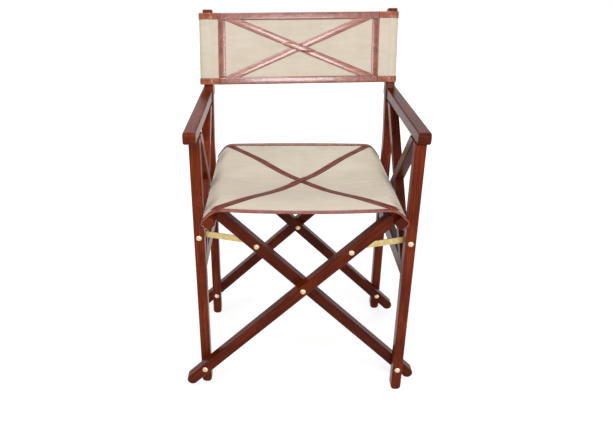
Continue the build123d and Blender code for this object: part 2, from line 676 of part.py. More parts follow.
panel_seat = CANVAS_THICKNESS + FACE_CLEARANCE
strip_low = BACK_BINDING_WIDTH + SOFT_CLEARANCE
strip_high = BACK_HEIGHT - BACK_BINDING_WIDTH - SOFT_CLEARANCE
strip_inner = PANEL_REACH - SIDE_STRIP_WIDTH
nodes["back_panel"] = back_patch(box_corners(PANEL_REACH, 0, BACK_HEIGHT), 0, CANVAS_THICKNESS)
nodes["back_top_binding"] = back_binding(
    BACK_HEIGHT - BACK_BINDING_WIDTH,
    BACK_HEIGHT + BINDING_PROUD,
    BACK_HEIGHT - BACK_BINDING_WIDTH - CUT_MARGIN,
    BACK_HEIGHT + BINDING_CLEARANCE,
)
nodes["back_bottom_binding"] = back_binding(
    -BINDING_PROUD,
    BACK_BINDING_WIDTH,
    -BINDING_CLEARANCE,
    BACK_BINDING_WIDTH + CUT_MARGIN,
)
for name, outer_end in (("left_back_strip", -PANEL_REACH), ("right_back_strip", PANEL_REACH)):
    inner_end = strip_inner if outer_end > 0 else -strip_inner
    ends = sorted((inner_end, outer_end))
    strip = [(ends[0], strip_low), (ends[1], strip_low), (ends[1], strip_high), (ends[0], strip_high)]
    nodes[name] = back_patch(strip, panel_seat, panel_seat + LEATHER_THICKNESS)
nodes["back_strap_lower"], nodes["back_strap_upper"] = crossed_straps(
    back_patch, strip_inner - SOFT_CLEARANCE, strip_low, strip_high, BACK_STRAP_WIDTH, panel_seat
)


# Seat canvas, stretched over the leg ends, round both rails and under them

leg_tip_z = leg_point(LEG_REACH, LEG_WIDTH / 2, 0).Z
seat_front_y = RAIL_FRONT_Y + SEAT_EDGE_INSET
seat_rear_y = RAIL_REAR_Y - SEAT_EDGE_INSET


def seat_line(outset):
    """The canvas's line in X and Z, outset from the wood: hem, rail, sagging top, rail, hem."""
    top_z = leg_tip_z + outset
    reach = LEG_REACH + outset
    under = -RAIL_SIZE - outset
    crown_across = (top_z - CENTRE_PIVOT_Z - reach * LEG_ALONG.Z) / LEG_ACROSS.Z
    corners = ((reach, crown_across), (reach, under), (LEG_REACH - SEAT_HEM, under))
    bends = [leg_point(along, across, 0) for along, across in corners]
    right_half = [(point.X, point.Z) for point in bends]
    left_half = [(-x, z) for x, z in right_half]
    corner = RAIL_ROUND + outset
    top = ThreePointArc(left_half[0], (0, top_z - SEAT_SAG), right_half[0])
    return [FilletPolyline(*left_half, radius=corner), top, FilletPolyline(*right_half, radius=corner)]


def seat_strip(inset, thickness, y_start, y_end):
    """A sheet along the canvas's line, inset from the wood."""
    inner = seat_line(inset)
    outer = seat_line(inset + thickness)
    ends = [Line(inner[side] @ 1, outer[side] @ 1) for side in (0, -1)]
    return depth_prism(make_face(Curve() + [*inner, *outer, *ends]), y_start, y_end)


def seat_binding(edge_y, inward):
    """A strip of leather folded over the front or rear edge of the canvas."""
    ends = sorted((edge_y - inward * BINDING_PROUD, edge_y + inward * SEAT_BINDING_WIDTH))
    under_inset = SOFT_CLEARANCE
    over_inset = SOFT_CLEARANCE + CANVAS_THICKNESS + BINDING_CLEARANCE
    lip = sorted((edge_y - inward * BINDING_PROUD, edge_y - inward * BINDING_CLEARANCE))
    over = seat_strip(over_inset, LEATHER_THICKNESS, *ends)
    return over + seat_strip(under_inset, over_inset - under_inset + LEATHER_THICKNESS, *lip)


canvas = seat_strip(SOFT_CLEARANCE, CANVAS_THICKNESS, seat_front_y, seat_rear_y)
for hole in tack_holes:
    canvas = canvas - hole - to_left(hole)
nodes["seat_canvas"] = canvas
nodes["seat_front_binding"] = seat_binding(seat_front_y, 1)
nodes["seat_rear_binding"] = seat_binding(seat_rear_y, -1)

seat_flat = leg_point(LEG_REACH, LEG_WIDTH / 2, 0).X


def seat_patch(corners, low, high):
    """A piece on the seat's top from corners (across, back), between two heights above the leg ends."""
    column = extrude(Polygon(*corners, align=None), amount=POST_TOP_Z, dir=(0, 0, 1))
    return seat_strip(low, high - low, seat_front_y, seat_rear_y) & column


nodes["seat_strap_lower"], nodes["seat_strap_upper"] = crossed_straps(
    seat_patch,
    seat_flat,
    seat_front_y + SEAT_BINDING_WIDTH + SOFT_CLEARANCE,
    seat_rear_y - SEAT_BINDING_WIDTH - SOFT_CLEARANCE,
    SEAT_STRAP_WIDTH,
    SOFT_CLEARANCE + CANVAS_THICKNESS + FACE_CLEARANCE,
)


# Every node as a list of solids, moved so that the middle of the whole box stands over the origin

def solids_of(shape):
    pieces = shape if isinstance(shape, (list, ShapeList)) else [shape]
    return [solid for piece in pieces for solid in piece.solids()]


groups = {name: solids_of(shape) for name, shape in nodes.items()}
boxes = [solid.bounding_box() for solids in groups.values() for solid in solids]
front_y = min(box.min.Y for box in boxes)
rear_y = max(box.max.Y for box in boxes)
to_origin = Pos(0, -(front_y + rear_y) / 2, 0)
os.makedirs("parts", exist_ok=True)
for name, solids in groups.items():
    moved = [to_origin * solid for solid in solids]
    export_step(moved[0] if len(moved) == 1 else Compound(children=moved), f"parts/{name}.step")
print("nodes", len(groups), "front", front_y, "rear", rear_y)
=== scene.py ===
import json

import bpy
import numpy as np
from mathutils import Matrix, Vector


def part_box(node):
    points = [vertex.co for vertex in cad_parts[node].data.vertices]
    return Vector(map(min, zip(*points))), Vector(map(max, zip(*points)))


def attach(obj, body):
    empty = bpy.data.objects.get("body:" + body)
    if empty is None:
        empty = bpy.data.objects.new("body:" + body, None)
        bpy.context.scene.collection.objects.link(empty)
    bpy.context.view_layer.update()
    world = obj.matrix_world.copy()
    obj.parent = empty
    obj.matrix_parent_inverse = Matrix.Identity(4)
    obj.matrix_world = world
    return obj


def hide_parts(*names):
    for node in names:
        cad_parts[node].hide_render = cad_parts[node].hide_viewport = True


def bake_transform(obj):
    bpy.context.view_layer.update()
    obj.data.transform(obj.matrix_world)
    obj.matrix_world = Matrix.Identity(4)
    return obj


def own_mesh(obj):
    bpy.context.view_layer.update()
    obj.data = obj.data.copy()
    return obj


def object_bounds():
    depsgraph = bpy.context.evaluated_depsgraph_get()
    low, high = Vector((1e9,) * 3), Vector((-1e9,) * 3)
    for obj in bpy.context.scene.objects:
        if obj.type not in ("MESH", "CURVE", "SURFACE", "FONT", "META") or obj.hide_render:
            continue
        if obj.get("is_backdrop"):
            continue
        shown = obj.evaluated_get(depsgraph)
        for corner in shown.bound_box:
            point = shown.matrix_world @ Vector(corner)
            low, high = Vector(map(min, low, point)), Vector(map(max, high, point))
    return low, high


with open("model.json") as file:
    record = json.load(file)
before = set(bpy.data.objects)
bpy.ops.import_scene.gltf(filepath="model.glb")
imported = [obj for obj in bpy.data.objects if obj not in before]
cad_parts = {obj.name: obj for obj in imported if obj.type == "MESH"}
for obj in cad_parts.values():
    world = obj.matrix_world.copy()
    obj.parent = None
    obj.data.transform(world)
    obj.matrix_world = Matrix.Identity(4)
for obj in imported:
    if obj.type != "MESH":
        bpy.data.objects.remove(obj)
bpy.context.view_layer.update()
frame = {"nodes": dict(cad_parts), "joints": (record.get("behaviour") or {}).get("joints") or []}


# The wooden frame: uprights, leaning posts, arms, stretchers, braces, legs and seat rails.
# They are planed bars of mahogany, stained red-brown and varnished to a gloss,
# joined by hidden dowels and, where they move, by brass bolts.

def linear(hex_colour):
    """A colour written as sRGB hex, as the linear value that a shader socket takes."""
    srgb = np.array([int(hex_colour[i:i + 2], 16) for i in (1, 3, 5)]) / 255
    return (*np.where(srgb <= 0.04045, srgb / 12.92, ((srgb + 0.055) / 1.055) ** 2.4), 1.0)


def add_node(tree, kind, inputs, stops=(), **settings):
    """Adds one shader node: inputs are its values or the sockets that it links from, settings its properties.

    Stops are the places and colours of a ramp.
    """
    node = tree.nodes.new(kind)
    for name, value in settings.items():
        setattr(node, name, value)
    for name, value in inputs.items():
        if isinstance(value, bpy.types.NodeSocket):
            tree.links.new(value, node.inputs[name])
        else:
            node.inputs[name].default_value = value
    if stops:
        marks = node.color_ramp.elements
        while len(marks) < len(stops):
            marks.new(0.5)
        for mark, (place, colour) in zip(marks, stops):
            mark.position, mark.color = place, linear(colour)
    return node


def bare_material(name):
    """A new material and its empty node tree."""
    material = bpy.data.materials.new(name)
    material.use_nodes = True
    material.node_tree.nodes.clear()
    return material, material.node_tree


def varnished_mahogany(name, grain, stain_and_shade_dark="#CBBCBA", stain_and_shade_pale="#FFFFFF"):
    """Stained mahogany under gloss varnish: soft streaks along the grain, dark pores, a wet-looking skin.

    Streaks are about 5 mm wide and pores about 1.2 mm, both drawn out along the grain, and the stain is
    uneven over about 120 mm, between the two stain colours given. Darker pairs of these are painted shade,
    for parts that lie in shade. Object coordinates are turned so that the grain runs along X.
    """
    streak_mm = 5.0
    pore_mm = 1.2
    stain_mm = 120.0
    along_grain = 0.06
    material, tree = bare_material(name)
    turn = Vector(grain).normalized().rotation_difference(Vector((1, 0, 0))).to_euler()
    place = add_node(tree, "ShaderNodeTexCoord", {}).outputs["Object"]
    place = add_node(tree, "ShaderNodeMapping", {"Vector": place, "Rotation": turn}).outputs["Vector"]
    drawn_out = add_node(tree, "ShaderNodeMapping", {
        "Vector": place, "Scale": (along_grain, 1, 1)}).outputs["Vector"]
    streaks = add_node(tree, "ShaderNodeTexNoise", {
        "Vector": drawn_out, "Scale": 1000 / streak_mm, "Detail": 5, "Roughness": 0.6, "Distortion": 0.3})
    pores = add_node(tree, "ShaderNodeTexNoise", {
        "Vector": drawn_out, "Scale": 1000 / pore_mm, "Detail": 2, "Roughness": 0.5})
    stain = add_node(tree, "ShaderNodeTexNoise", {"Vector": place, "Scale": 1000 / stain_mm, "Detail": 2})
    wood = add_node(tree, "ShaderNodeValToRGB", {"Fac": streaks.outputs["Fac"]}, stops=[
        (0.28, "#5F200D"), (0.46, "#7A2E14"), (0.6, "#883919"), (0.8, "#9A4A24")])
    # Painted shade: for parts that lie in shade, this stain ramp is given darker colours.
    shade = add_node(tree, "ShaderNodeValToRGB", {"Fac": stain.outputs["Fac"]}, stops=[
        (0.32, stain_and_shade_dark), (0.68, stain_and_shade_pale)])
    stained_and_shaded = add_node(tree, "ShaderNodeMix", {
        0: 1.0, 6: wood.outputs["Color"], 7: shade.outputs["Color"]}, data_type="RGBA", blend_type="MULTIPLY")
    pits = add_node(tree, "ShaderNodeMapRange", {
        "Value": pores.outputs["Fac"], "From Min": 0.33, "From Max": 0.42, "To Min": 0.5, "To Max": 0.0})
    colour = add_node(tree, "ShaderNodeMix", {
        0: pits.outputs["Result"], 6: stained_and_shaded.outputs[2], 7: linear("#2E0D07")}, data_type="RGBA")
    rough = add_node(tree, "ShaderNodeMapRange", {
        "Value": streaks.outputs["Fac"], "To Min": 0.2, "To Max": 0.36})
    bump = add_node(tree, "ShaderNodeBump", {
        "Height": streaks.outputs["Fac"], "Strength": 0.1, "Distance": 0.0004})
    varnish = add_node(tree, "ShaderNodeBsdfPrincipled", {
        "Base Color": colour.outputs[2], "Roughness": rough.outputs["Result"],
        "Normal": bump.outputs["Normal"], "IOR": 1.5, "Specular IOR Level": 0.08,
        "Coat Weight": 0.02, "Coat Roughness": 0.12})
    add_node(tree, "ShaderNodeOutputMaterial", {"Surface": varnish.outputs["BSDF"]})
    return material


def dress(node, material):
    """Gives a CAD node its finish."""
    slots = frame["nodes"][node].data.materials
    slots.clear()
    slots.append(material)


def unit(vectors):
    """The directions of vectors, each of length 1."""
    return vectors / np.linalg.norm(vectors, axis=-1, keepdims=True)


pivots = {joint["name"]: np.array(joint["pos_m"]) for joint in frame["joints"]}
leg_crossing, right_foot = pivots["scissor"], pivots["fold"]
left_foot = right_foot * (-1, 0, 1)
leg_along = unit(leg_crossing - left_foot)
leg_across = np.array([-leg_along[2], 0, leg_along[0]])

upright_grain = varnished_mahogany("mahogany_upright", (0, 0, 1))
# The legs' darker stain colours are painted shade: the seat shades them, and the inner legs more deeply.
outer_leg_grain = varnished_mahogany("mahogany_outer_leg", leg_along, "#A39290", "#DACFCD")
inner_leg_grain = varnished_mahogany("mahogany_inner_leg", leg_along * (-1, 1, 1), "#8F8080", "#C4BAB9")
# Each side's bars get their own darker stain colours as painted shade, the right much darker for its shaded
# inner faces.
for side, stain_and_shade_dark, stain_and_shade_pale in (("left", "#BFB0AE", "#F0E6E4"), ("right", "#8C7F7E", "#BBB1B0")):
    level_grain = varnished_mahogany(f"mahogany_{side}_level", (0, 1, 0), stain_and_shade_dark, stain_and_shade_pale)
    rising_grain = varnished_mahogany(f"mahogany_{side}_rising", (0, 1, 1), stain_and_shade_dark, stain_and_shade_pale)
    falling_grain = varnished_mahogany(f"mahogany_{side}_falling", (0, 1, -1), stain_and_shade_dark, stain_and_shade_pale)
    for piece in ("front_upright", "rear_post", "dowels"):
        dress(f"{side}_{piece}", upright_grain)
    for piece in ("arm", "side_stretcher", "seat_rail"):
        dress(f"{side}_{piece}", level_grain)
    dress(f"{side}_rising_brace", rising_grain)
    dress(f"{side}_falling_brace", falling_grain)
for end in ("front", "rear"):
    dress(f"outer_{end}_leg", outer_leg_grain)
    dress(f"inner_{end}_leg", inner_leg_grain)


# The brass: round-headed bolts with cap nuts, washers, studs, screws and tacks, and the flat links.
# The heads are turned and lacquered, so they stay pale; the links are cut from sheet and have dulled.

def aged_brass(name, dull, plain, bright, smoothest):
    """Brass under a cloudy tarnish, in patches about 7 mm wide, with fine rub marks that catch the light.

    The rub marks are about 0.6 mm wide.
    """
    patch_mm, rub_mm = 7.0, 0.6
    material, tree = bare_material(name)
    place = add_node(tree, "ShaderNodeTexCoord", {}).outputs["Object"]
    patches = add_node(tree, "ShaderNodeTexNoise", {"Vector": place, "Scale": 1000 / patch_mm, "Detail": 4})
    rubs = add_node(tree, "ShaderNodeTexNoise", {"Vector": place, "Scale": 1000 / rub_mm, "Detail": 2})
    colour = add_node(tree, "ShaderNodeValToRGB", {"Fac": patches.outputs["Fac"]}, stops=[
        (0.3, dull), (0.5, plain), (0.7, bright)])
    rough = add_node(tree, "ShaderNodeMapRange", {
        "Value": patches.outputs["Fac"], "To Min": smoothest + 0.16, "To Max": smoothest})
    bump = add_node(tree, "ShaderNodeBump", {
        "Height": rubs.outputs["Fac"], "Strength": 0.08, "Distance": 0.0001})
    metal = add_node(tree, "ShaderNodeBsdfPrincipled", {
        "Base Color": colour.outputs["Color"], "Metallic": 1.0, "Roughness": rough.outputs["Result"],
        "Normal": bump.outputs["Normal"]})
    add_node(tree, "ShaderNodeOutputMaterial", {"Surface": metal.outputs["BSDF"]})
    return material


lacquered_brass = aged_brass("brass_lacquered", "#CBA67E", "#DEBE99", "#ECD5B6", smoothest=0.24)
sheet_brass = aged_brass("brass_sheet", "#B39D66", "#C4AF78", "#D3C08E", smoothest=0.3)
for node in ("centre_bolts", "centre_cap_nuts", "centre_washers"):
    dress(node, lacquered_brass)
for side in ("left", "right"):
    for piece in ("side_bolts", "side_cap_nuts", "foot_washers", "leg_studs", "rail_screws", "seat_tacks"):
        dress(f"{side}_{piece}", lacquered_brass)
    for piece in ("front_link", "rear_link", "link_rivets"):
        dress(f"{side}_{piece}", sheet_brass)


# The seat canvas: one heavy cotton sheet stretched over the leg ends, round both seat rails
# and tacked under them. It dips in the middle, and lies lower between the front and rear legs.

def cotton_canvas(name):
    """Unbleached plain-woven cotton: raised threads both ways on the sheet's UV map, matt and a little furry.

    The real threads are about 0.8 mm apart; they are drawn 1.8 mm apart, because finer ones would not show.
    Thick and thin yarn gives faint bars about 12 mm wide, and handling a soft unevenness about 60 mm wide.
    """
    thread_mm = 1.8
    bar_mm = 12.0
    handling_mm = 60.0
    along_yarn = 0.12
    material, tree = bare_material(name)
    flat = add_node(tree, "ShaderNodeUVMap", {}, uv_map="flat").outputs["UV"]
    axes = add_node(tree, "ShaderNodeSeparateXYZ", {"Vector": flat})
    waves = []
    for axis in ("X", "Y"):
        turns = add_node(tree, "ShaderNodeMath", {
            0: axes.outputs[axis], 1: 2000 * np.pi / thread_mm}, operation="MULTIPLY")
        waves.append(add_node(tree, "ShaderNodeMath", {0: turns.outputs[0]}, operation="SINE").outputs[0])
    weave = add_node(tree, "ShaderNodeMath", {0: waves[0], 1: waves[1]}, operation="MULTIPLY").outputs[0]
    long_yarn = add_node(tree, "ShaderNodeMapping", {
        "Vector": flat, "Scale": (along_yarn, 1, 1)}).outputs["Vector"]
    bars = add_node(tree, "ShaderNodeTexNoise", {"Vector": long_yarn, "Scale": 1000 / bar_mm, "Detail": 3})
    handling = add_node(tree, "ShaderNodeTexNoise", {
        "Vector": flat, "Scale": 1000 / handling_mm, "Detail": 4})
    tone = add_node(tree, "ShaderNodeMix", {0: 0.5, 2: bars.outputs["Fac"], 3: handling.outputs["Fac"]})
    cotton = add_node(tree, "ShaderNodeValToRGB", {"Fac": tone.outputs[0]}, stops=[
        (0.3, "#D0C3AF"), (0.5, "#D8CCBA"), (0.7, "#DFD5C6")])
    shadow = add_node(tree, "ShaderNodeMapRange", {
        "Value": weave, "From Min": -1.0, "From Max": 1.0, "To Min": 0.2, "To Max": 0.0})
    colour = add_node(tree, "ShaderNodeMix", {
        0: shadow.outputs["Result"], 6: cotton.outputs["Color"], 7: linear("#A39274")}, data_type="RGBA")
    bump = add_node(tree, "ShaderNodeBump", {"Height": weave, "Strength": 0.3, "Distance": 0.0004})
    yarn = add_node(tree, "ShaderNodeBsdfPrincipled", {
        "Base Color": colour.outputs[2], "Roughness": 0.9, "Normal": bump.outputs["Normal"], "IOR": 1.45,
        "Sheen Weight": 0.12, "Sheen Roughness": 0.5})
    add_node(tree, "ShaderNodeOutputMaterial", {"Surface": yarn.outputs["BSDF"]})
    return material


def surface(name, points, uv, material, wrap=False, caps=False):
    """A mesh from a grid of points: neighbours make faces, wrap closes it across, caps close its two ends.

    uv gives each grid point's place on the flat piece, in metres.
    """
    rows, columns = points.shape[:2]
    index = np.arange(rows * columns).reshape(rows, columns)
    near, far = (index, np.roll(index, -1, 1)) if wrap else (index[:, :-1], index[:, 1:])
    faces = np.stack([near[:-1], far[:-1], far[1:], near[1:]], -1).reshape(-1, 4).tolist()
    if caps:
        faces += [index[0, ::-1].tolist(), index[-1].tolist()]
    mesh = bpy.data.meshes.new(name)
    mesh.from_pydata(points.reshape(-1, 3).tolist(), [], faces)
    corners = np.zeros(len(mesh.loops), int)
    mesh.loops.foreach_get("vertex_index", corners)
    flat = mesh.uv_layers.new(name="flat")
    flat.data.foreach_set("uv", uv.reshape(-1, 2)[corners].astype(np.float32).ravel())
    mesh.shade_smooth()
    mesh.materials.append(material)
    piece = bpy.data.objects.new(name, mesh)
    bpy.context.scene.collection.objects.link(piece)
    return piece


def run_length(path):
    """Distance along a path from its first point to each of its points."""
    steps = np.linalg.norm(np.diff(path, axis=0), axis=1)
    return np.concatenate([[0], np.cumsum(steps)])


def ease(share):
    """A smooth step from 0 to 1: three times the square of the share, less twice its cube."""
    share = np.clip(share, 0, 1)
    return share ** 2 * (3 - 2 * share)


canvas_wall, rail_gap = 0.0016, 0.0003
rail_size = 0.024
rail_round = 0.007
seat_hem = 0.019
leg_half_width = 0.013
rail_low, rail_high = (np.array(corner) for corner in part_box("right_seat_rail"))
rail_outer = ((rail_low + rail_high) / 2 - leg_crossing) @ leg_along + rail_size / 2
rail_skin = canvas_wall / 2 + rail_gap
seat_front, seat_rear = (corner[1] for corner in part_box("seat_canvas"))
front_leg_face, front_leg_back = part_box("outer_front_leg")[0][1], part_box("inner_front_leg")[1][1]
rear_leg_face, rear_leg_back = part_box("inner_rear_leg")[0][1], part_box("outer_rear_leg")[1][1]

crown_height = 0.006
crown_drop = 0.009
drop_run = 0.1
stiff_rise = 0.0045
stiff_reach = 0.007
stiff_run = 0.03
front_dip = 0.006
middle_dip = 0.014
rear_rise = 0.002
bend_length = 0.012
rear_bend_more = 0.006
front_bend_more = 0.008
front_bend_run = 0.015
top_points = 26
bend_points = 10
slope_points = 6
corner_points = 8
hem_points = 5
seat_rows = 73


def on_leg(along, across):
    """X and Z of a point given along and across the leg that rises to the right."""
    along, across = (np.array(grid)[..., None] for grid in np.broadcast_arrays(along, across))
    return leg_crossing[[0, 2]] + along * leg_along[[0, 2]] + across * leg_across[[0, 2]]


def seat_crown(depth):
    """Where the seat's top would meet its sloping side: just above the leg ends, and lower between the legs.

    Behind the rear legs the stiff edge stands higher and further out. Each change is a smooth step in depth.
    """
    slack = ease((depth - front_leg_back) / drop_run) * ease((rear_leg_face - depth) / drop_run)
    stiff = ease((depth - rear_leg_back) / stiff_run)
    height = leg_half_width + crown_height - crown_drop * slack + stiff_rise * stiff
    return on_leg(rail_outer + rail_skin, height) + stiff[..., None] * (stiff_reach, 0)


def seat_top(x, depth):
    """Height of the seat's top: a parabola between its crowns.

    Its dip changes from the front over the middle to a slight rise at the rear edge, by a parabola in depth.
    """
    back = (depth - seat_front) / (seat_rear - seat_front)
    dip = (
        front_dip * (1 - back) * (1 - 2 * back) + middle_dip * 4 * back * (1 - back)
        - rear_rise * back * (2 * back - 1))
    crown = seat_crown(depth)
    return crown[..., 1] - dip * (1 - (x / crown[..., 0]) ** 2)


def seat_section(depth):
    """The canvas's line at each depth, from the left hem to the right hem, as points in space.

    From the middle out: the dipping top, a Bezier bend over the leg end that is longer at the free edges,
    the straight slope along the rail, a round corner under it and the flat hem.
    """
    depth = np.asarray(depth)[:, None]
    crown = seat_crown(depth)
    bend_run = (
        bend_length + rear_bend_more * ease((depth - rear_leg_back) / stiff_run)
        + front_bend_more * ease((front_leg_face - depth) / front_bend_run))
    top_x = np.linspace(0, 1, top_points) * (crown[..., 0] - bend_run)
    top = np.stack([top_x, seat_top(top_x, depth)], -1)
    slope_end = on_leg(rail_outer + rail_skin, rail_round - rail_size)
    slope_start = crown + bend_run[..., None] * unit(slope_end - crown)
    share = np.linspace(0, 1, bend_points + 1)[1:, None]
    bend = (1 - share) ** 2 * top[:, -1:] + 2 * share * (1 - share) * crown + share ** 2 * slope_start
    slope = slope_start + np.linspace(0, 1, slope_points + 1)[1:, None] * (slope_end - slope_start)
    turn = np.linspace(0, np.pi / 2, corner_points + 1)[1:]
    radius = rail_round + rail_skin
    corner = on_leg(
        rail_outer - rail_round + radius * np.cos(turn), rail_round - rail_size - radius * np.sin(turn))
    hem = on_leg(rail_outer - np.linspace(rail_round, seat_hem, hem_points + 1)[1:], -rail_size - rail_skin)
    under = np.broadcast_to(np.concatenate([corner, hem]), (len(depth), len(corner) + len(hem), 2))
    right = np.concatenate([top, bend, slope, under], 1)
    whole = np.concatenate([right[:, :0:-1] * (-1, 1), right], 1)
    return np.stack([whole[..., 0], np.broadcast_to(depth, whole.shape[:2]), whole[..., 1]], -1)


def hang_between_rails(piece, node):
    """The piece stands for a CAD node of the seat.

    The node is hidden, and the piece's placing is baked into its mesh.
    """
    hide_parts(node)
    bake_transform(piece)


def cloth_wall(piece):
    """Gives a sheet of canvas its thickness, half to each side."""
    wall = piece.modifiers.new("wall", "SOLIDIFY")
    wall.thickness, wall.offset = canvas_wall, 0


canvas = cotton_canvas("cotton_canvas")
depths = np.linspace(seat_front, seat_rear, seat_rows)
section = seat_section(depths)
across = run_length(section[len(depths) // 2])
seat_uv = np.stack(np.broadcast_arrays(across, depths[:, None]), -1)
seat_sheet = surface("seat_sheet", section, seat_uv, canvas)
cloth_wall(seat_sheet)
hang_between_rails(seat_sheet, "seat_canvas")


# The leather on the seat: a strip folded over the front edge and one over the rear edge,
# and two straps sewn from corner to corner, one crossing over the other in the middle.

def bridle_leather(name, edge, wax, stitch_inset=0.0022, tones=("#6B2B1C", "#843E2B", "#9B533C")):
    """Red-brown bridle leather, rubbed: pebbled and wavy, with dark edges, pale stitches and a skin of wax.

    The UV map runs along the strip and across it, in metres; edge is where the strip ends across, and the
    stitches lie stitch_inset inside it. wax is 1 for a full gloss, and tones are the hide's colours from its
    dark stains to its pale ones. Pebbles are about 1.4 mm, stitches 4 mm long, the hide's waves about 16 mm.
    """
    pebble_mm = 1.4
    wave_mm = 16.0
    stain_mm = 28.0
    rim_mm = 1.8
    stitch_mm = 4.0
    thread_mm = 0.8
    stitch_share = 0.72
    material, tree = bare_material(name)
    flat = add_node(tree, "ShaderNodeUVMap", {}, uv_map="flat").outputs["UV"]
    axes = add_node(tree, "ShaderNodeSeparateXYZ", {"Vector": flat})
    pebbles = add_node(tree, "ShaderNodeTexVoronoi", {
        "Vector": flat, "Scale": 1000 / pebble_mm, "Randomness": 0.9})
    waves = add_node(tree, "ShaderNodeTexNoise", {"Vector": flat, "Scale": 1000 / wave_mm, "Detail": 2})
    stains = add_node(tree, "ShaderNodeTexNoise", {"Vector": flat, "Scale": 1000 / stain_mm, "Detail": 5})
    hide = add_node(tree, "ShaderNodeValToRGB", {"Fac": stains.outputs["Fac"]}, stops=list(
        zip((0.3, 0.5, 0.7), tones)))
    from_middle = add_node(tree, "ShaderNodeMath", {0: axes.outputs["Y"]}, operation="ABSOLUTE").outputs[0]
    rim = add_node(tree, "ShaderNodeMapRange", {
        "Value": from_middle, "From Min": edge - rim_mm / 1000, "From Max": edge,
        "To Min": 0.0, "To Max": 0.75})
    rimmed = add_node(tree, "ShaderNodeMix", {
        0: rim.outputs["Result"], 6: hide.outputs["Color"], 7: linear("#4C1B13")}, data_type="RGBA")
    on_row = add_node(tree, "ShaderNodeMath", {
        0: from_middle, 1: edge - stitch_inset, 2: thread_mm / 2000}, operation="COMPARE").outputs[0]
    along = add_node(tree, "ShaderNodeMath", {
        0: axes.outputs["X"], 1: 1000 / stitch_mm}, operation="MULTIPLY")
    along = add_node(tree, "ShaderNodeMath", {0: along.outputs[0]}, operation="FRACT")
    dash = add_node(tree, "ShaderNodeMath", {
        0: along.outputs[0], 1: stitch_share}, operation="LESS_THAN").outputs[0]
    stitch = add_node(tree, "ShaderNodeMath", {0: on_row, 1: dash}, operation="MULTIPLY").outputs[0]
    colour = add_node(tree, "ShaderNodeMix", {
        0: stitch, 6: rimmed.outputs[2], 7: linear("#B4836A")}, data_type="RGBA").outputs[2]
    height = add_node(tree, "ShaderNodeMath", {
        0: stitch, 1: 0.8, 2: pebbles.outputs["Distance"]}, operation="MULTIPLY_ADD").outputs[0]
    wavy = add_node(tree, "ShaderNodeBump", {
        "Height": waves.outputs["Fac"], "Strength": 0.5, "Distance": 0.0015})
    bump = add_node(tree, "ShaderNodeBump", {
        "Height": height, "Strength": 0.16, "Distance": 0.0003, "Normal": wavy.outputs["Normal"]})
    rough = add_node(tree, "ShaderNodeMapRange", {
        "Value": stains.outputs["Fac"], "To Min": 0.2, "To Max": 0.36})
    leather = add_node(tree, "ShaderNodeBsdfPrincipled", {
        "Base Color": colour, "Roughness": rough.outputs["Result"], "Normal": bump.outputs["Normal"],
        "IOR": 1.5, "Specular IOR Level": 0.04 + 0.46 * wax,
        "Coat Weight": 0.5 * wax, "Coat Roughness": 0.12})
    add_node(tree, "ShaderNodeOutputMaterial", {"Surface": leather.outputs["BSDF"]})
    return material


strap_edge = 0.0008
strap_wall = 0.002
binding_wall = 0.0014
leather_gap = 0.0001
on_canvas = canvas_wall / 2 + leather_gap
binding_top = on_canvas + binding_wall
seat_binding_width = 0.012
seat_strap_width = 0.017
edge_step = 0.004
strap_rear_x = 0.191
strap_front_x = 0.195
strap_tuck = 0.0015
seat_crossing, crossing_ramp = 0.013, 0.012
swell_points = 17
fold_points = 8
seat_strap_points = 121
seat_binding_leather = bridle_leather(
    "bridle_leather_seat_edge", seat_binding_width, wax=0.4, stitch_inset=0.0024)
seat_strap_leather = bridle_leather(
    "bridle_leather_seat_strap", seat_strap_width / 2, wax=0.0, tones=("#592419", "#6E3427", "#824636"))


def strap_outline(width, wall):
    """A strap's outline, (across, up) from its underside's middle, over the top from left to right.

    It is strap_edge thick at the edges and swells to wall in the middle as half an ellipse.
    """
    turn = np.linspace(np.pi, 0, swell_points)
    swell = np.stack([width / 2 * np.cos(turn), strap_edge + (wall - strap_edge) * np.sin(turn)], -1)
    return np.concatenate([[[-width / 2, 0]], swell, [[width / 2, 0], [0, 0]]])


def binding_leaf(width):
    """One leaf of a folded strip, (inwards, up) from the canvas's edge, from its inner end to the fold."""
    return np.array([
        (width, on_canvas), (width, on_canvas + strap_edge), (width - strap_edge, binding_top),
        (width * 0.7, binding_top), (width * 0.35, binding_top)])


def carried(name, path, sideways, upward, outline, material):
    """A closed outline carried along a path, lying on each point's own sideways and upward directions."""
    points = path[:, None] + outline[:, :1] * sideways[:, None] + outline[:, 1:] * upward[:, None]
    uv = np.stack(np.broadcast_arrays(run_length(path)[:, None], outline[:, 0]), -1)
    return surface(name, points, uv, material, wrap=True, caps=True)


def seat_binding(name, node, edge, inward):
    """A strip folded over one edge of the canvas and carried along it: a leaf on top, a round fold, a lip."""
    path, inside = seat_section([edge, edge + inward * edge_step])
    over_canvas = (inside - path) / edge_step
    along = unit(np.gradient(path, axis=0))
    up = unit(np.cross(along, over_canvas)) * inward
    turn = np.linspace(np.pi / 2, np.pi, fold_points)
    fold = binding_top * np.stack([np.cos(turn), np.sin(turn)], -1)
    lip = on_canvas * np.array([(-1, -1), (-1, 0), (-0.7, 0.7), (0, 1)])
    outline = np.concatenate([
        binding_leaf(seat_binding_width), fold, [(-binding_top, -on_canvas)], lip])
    outline = outline if inward > 0 else outline[::-1]
    piece = carried(name, path, over_canvas, up, outline, seat_binding_leather)
    hang_between_rails(piece, node)


seat_binding("seat_front_edge", "seat_front_binding", seat_front, 1)
seat_binding("seat_rear_edge", "seat_rear_binding", seat_rear, -1)


